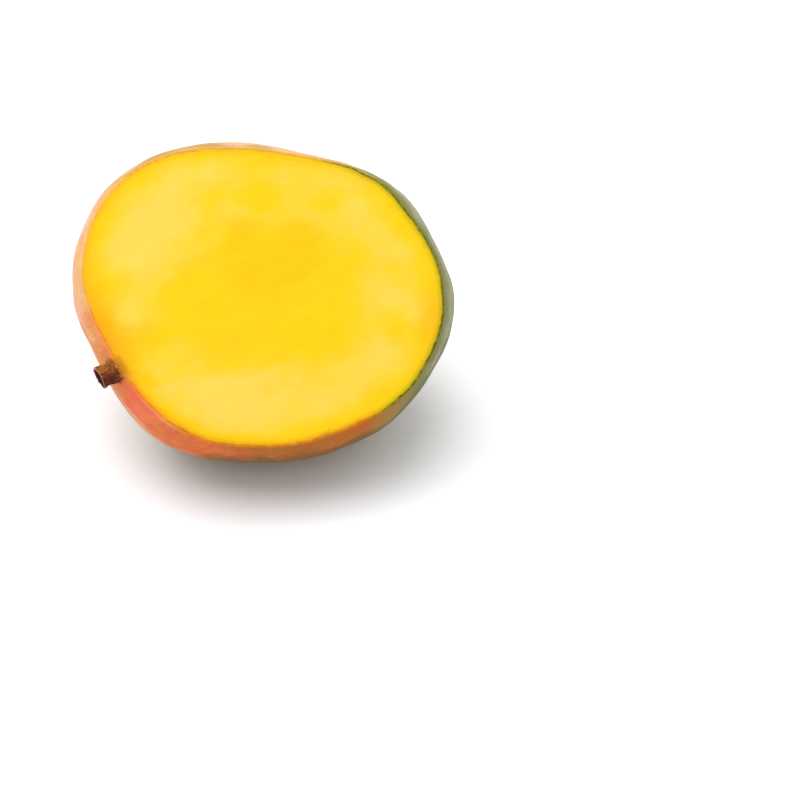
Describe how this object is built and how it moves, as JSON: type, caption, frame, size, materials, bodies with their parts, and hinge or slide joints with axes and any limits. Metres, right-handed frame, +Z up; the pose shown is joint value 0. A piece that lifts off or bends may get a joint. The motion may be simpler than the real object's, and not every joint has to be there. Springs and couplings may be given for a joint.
{
  "type": "mango",
  "caption": "Ripe mango with one cheek sliced off, leaning back on its skin so that the flat yellow cut face looks up to the front, with a short woody stem stub at one end.",
  "frame": {"origin": "middle of the bounding box's base, on the surface that the fruit rests on", "axes": "+Z up; the cut face looks towards -Y and up, 46 degrees above the horizontal; +X along the fruit's length, away from the stem end"},
  "size_m": [0.1128, 0.0882, 0.0884],
  "materials": {
    "fruit": "satin",
    "stem": "matte"
  },
  "bodies": {
    "root": {"fruit": "fruit", "stem_stub": "stem"}
  },
  "joints": []
}
